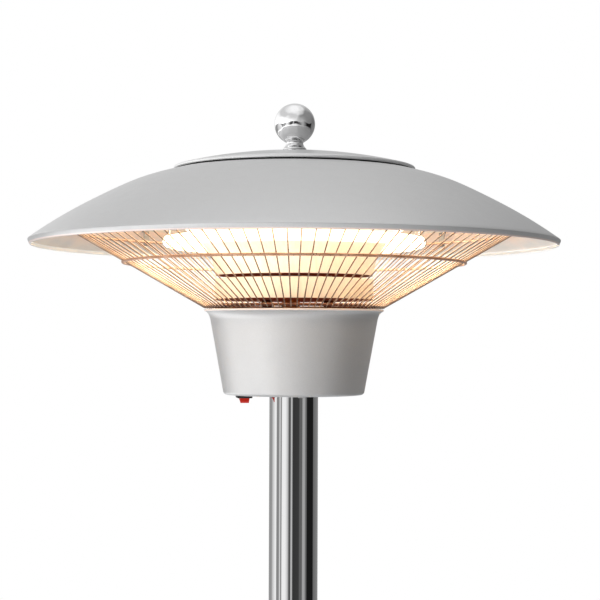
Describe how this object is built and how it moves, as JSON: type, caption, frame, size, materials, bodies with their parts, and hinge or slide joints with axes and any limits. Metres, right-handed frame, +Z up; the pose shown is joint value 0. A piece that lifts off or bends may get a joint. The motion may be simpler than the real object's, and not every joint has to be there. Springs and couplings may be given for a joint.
{
  "type": "outdoor heater",
  "caption": "Table-top electric patio heater: domed shade over a ring lamp in a conical wire guard, bowl with a rocker switch, chrome pole and weighted round foot.",
  "frame": {"origin": "on the floor under the pole's axis, at the bottom centre of the bounding box", "axes": "+Z up along the pole, -Y towards the front, +X to the right of the heater seen from the front; the rocker switch is on the -X side"},
  "size_m": [0.55, 0.55, 0.9247],
  "materials": {
    "silver_paint": "satin silver powder coat",
    "chrome": "polished",
    "zinc_steel": "zinc plated",
    "cast_iron": "as cast, painted",
    "rubber": "matte",
    "black_plastic": "fine texture",
    "red_plastic": "translucent, lit from inside",
    "reflector": "bright rolled",
    "guard_wire": "bright plated, heat tinted",
    "quartz": "clear, glowing",
    "tungsten": "glowing",
    "ceramic": "unglazed"
  },
  "bodies": {
    "heater": {"base_cover": "silver_paint", "base_plate": "zinc_steel", "base_weight": "cast_iron", "rubber_foot_1": "rubber", "rubber_foot_2": "rubber", "rubber_foot_3": "rubber", "rubber_foot_4": "rubber", "pole_flange": "zinc_steel", "flange_bolt_1": "zinc_steel", "flange_bolt_2": "zinc_steel", "flange_bolt_3": "zinc_steel", "pole": "chrome", "pole_collar": "chrome", "cable_gland": "black_plastic", "bowl": "silver_paint", "head_spigot": "zinc_steel", "bowl_screw_1": "zinc_steel", "bowl_screw_2": "zinc_steel", "bowl_screw_3": "zinc_steel", "terminal_block": "ceramic", "bowl_lid": "zinc_steel", "tilt_switch_case": "black_plastic", "tilt_switch_lid": "black_plastic", "switch_housing": "black_plastic", "tie_rod_1": "zinc_steel", "rod_standoff_1": "zinc_steel", "rod_spacer_1": "zinc_steel", "rod_nut_1": "zinc_steel", "tie_rod_2": "zinc_steel", "rod_standoff_2": "zinc_steel", "rod_spacer_2": "zinc_steel", "rod_nut_2": "zinc_steel", "tie_rod_3": "zinc_steel", "rod_standoff_3": "zinc_steel", "rod_spacer_3": "zinc_steel", "rod_nut_3": "zinc_steel", "lead_sleeve": "ceramic", "lower_reflector": "reflector", "drum_column": "zinc_steel", "upper_reflector": "reflector", "shade_column": "zinc_steel", "lamp_tube": "quartz", "lamp_filament": "tungsten", "lamp_socket_1": "ceramic", "lamp_socket_2": "ceramic", "lamp_clip_1": "zinc_steel", "lamp_clip_2": "zinc_steel", "wire_guard": "guard_wire", "guard_clip_1": "zinc_steel", "guard_clip_2": "zinc_steel", "guard_clip_3": "zinc_steel", "guard_clip_4": "zinc_steel", "shade": "silver_paint", "top_cap": "silver_paint", "cap_washer": "chrome", "finial_stud": "zinc_steel", "finial_ball": "chrome"},
    "rocker": {"switch_rocker": "red_plastic"},
    "tilt_ball": {"tilt_ball": "zinc_steel"}
  },
  "joints": [
    {"name": "rocker_switch", "type": "hinge", "parent": "heater", "child": "rocker", "pos_m": [-0.052, 0, 0.619], "axis": [0.9903, 0.1392, 0], "range_deg": [-20, 0]},
    {"name": "tilt_switch", "type": "slide", "parent": "heater", "child": "tilt_ball", "axis": [0, 0, 1], "range_m": [0, 0.005]}
  ]
}
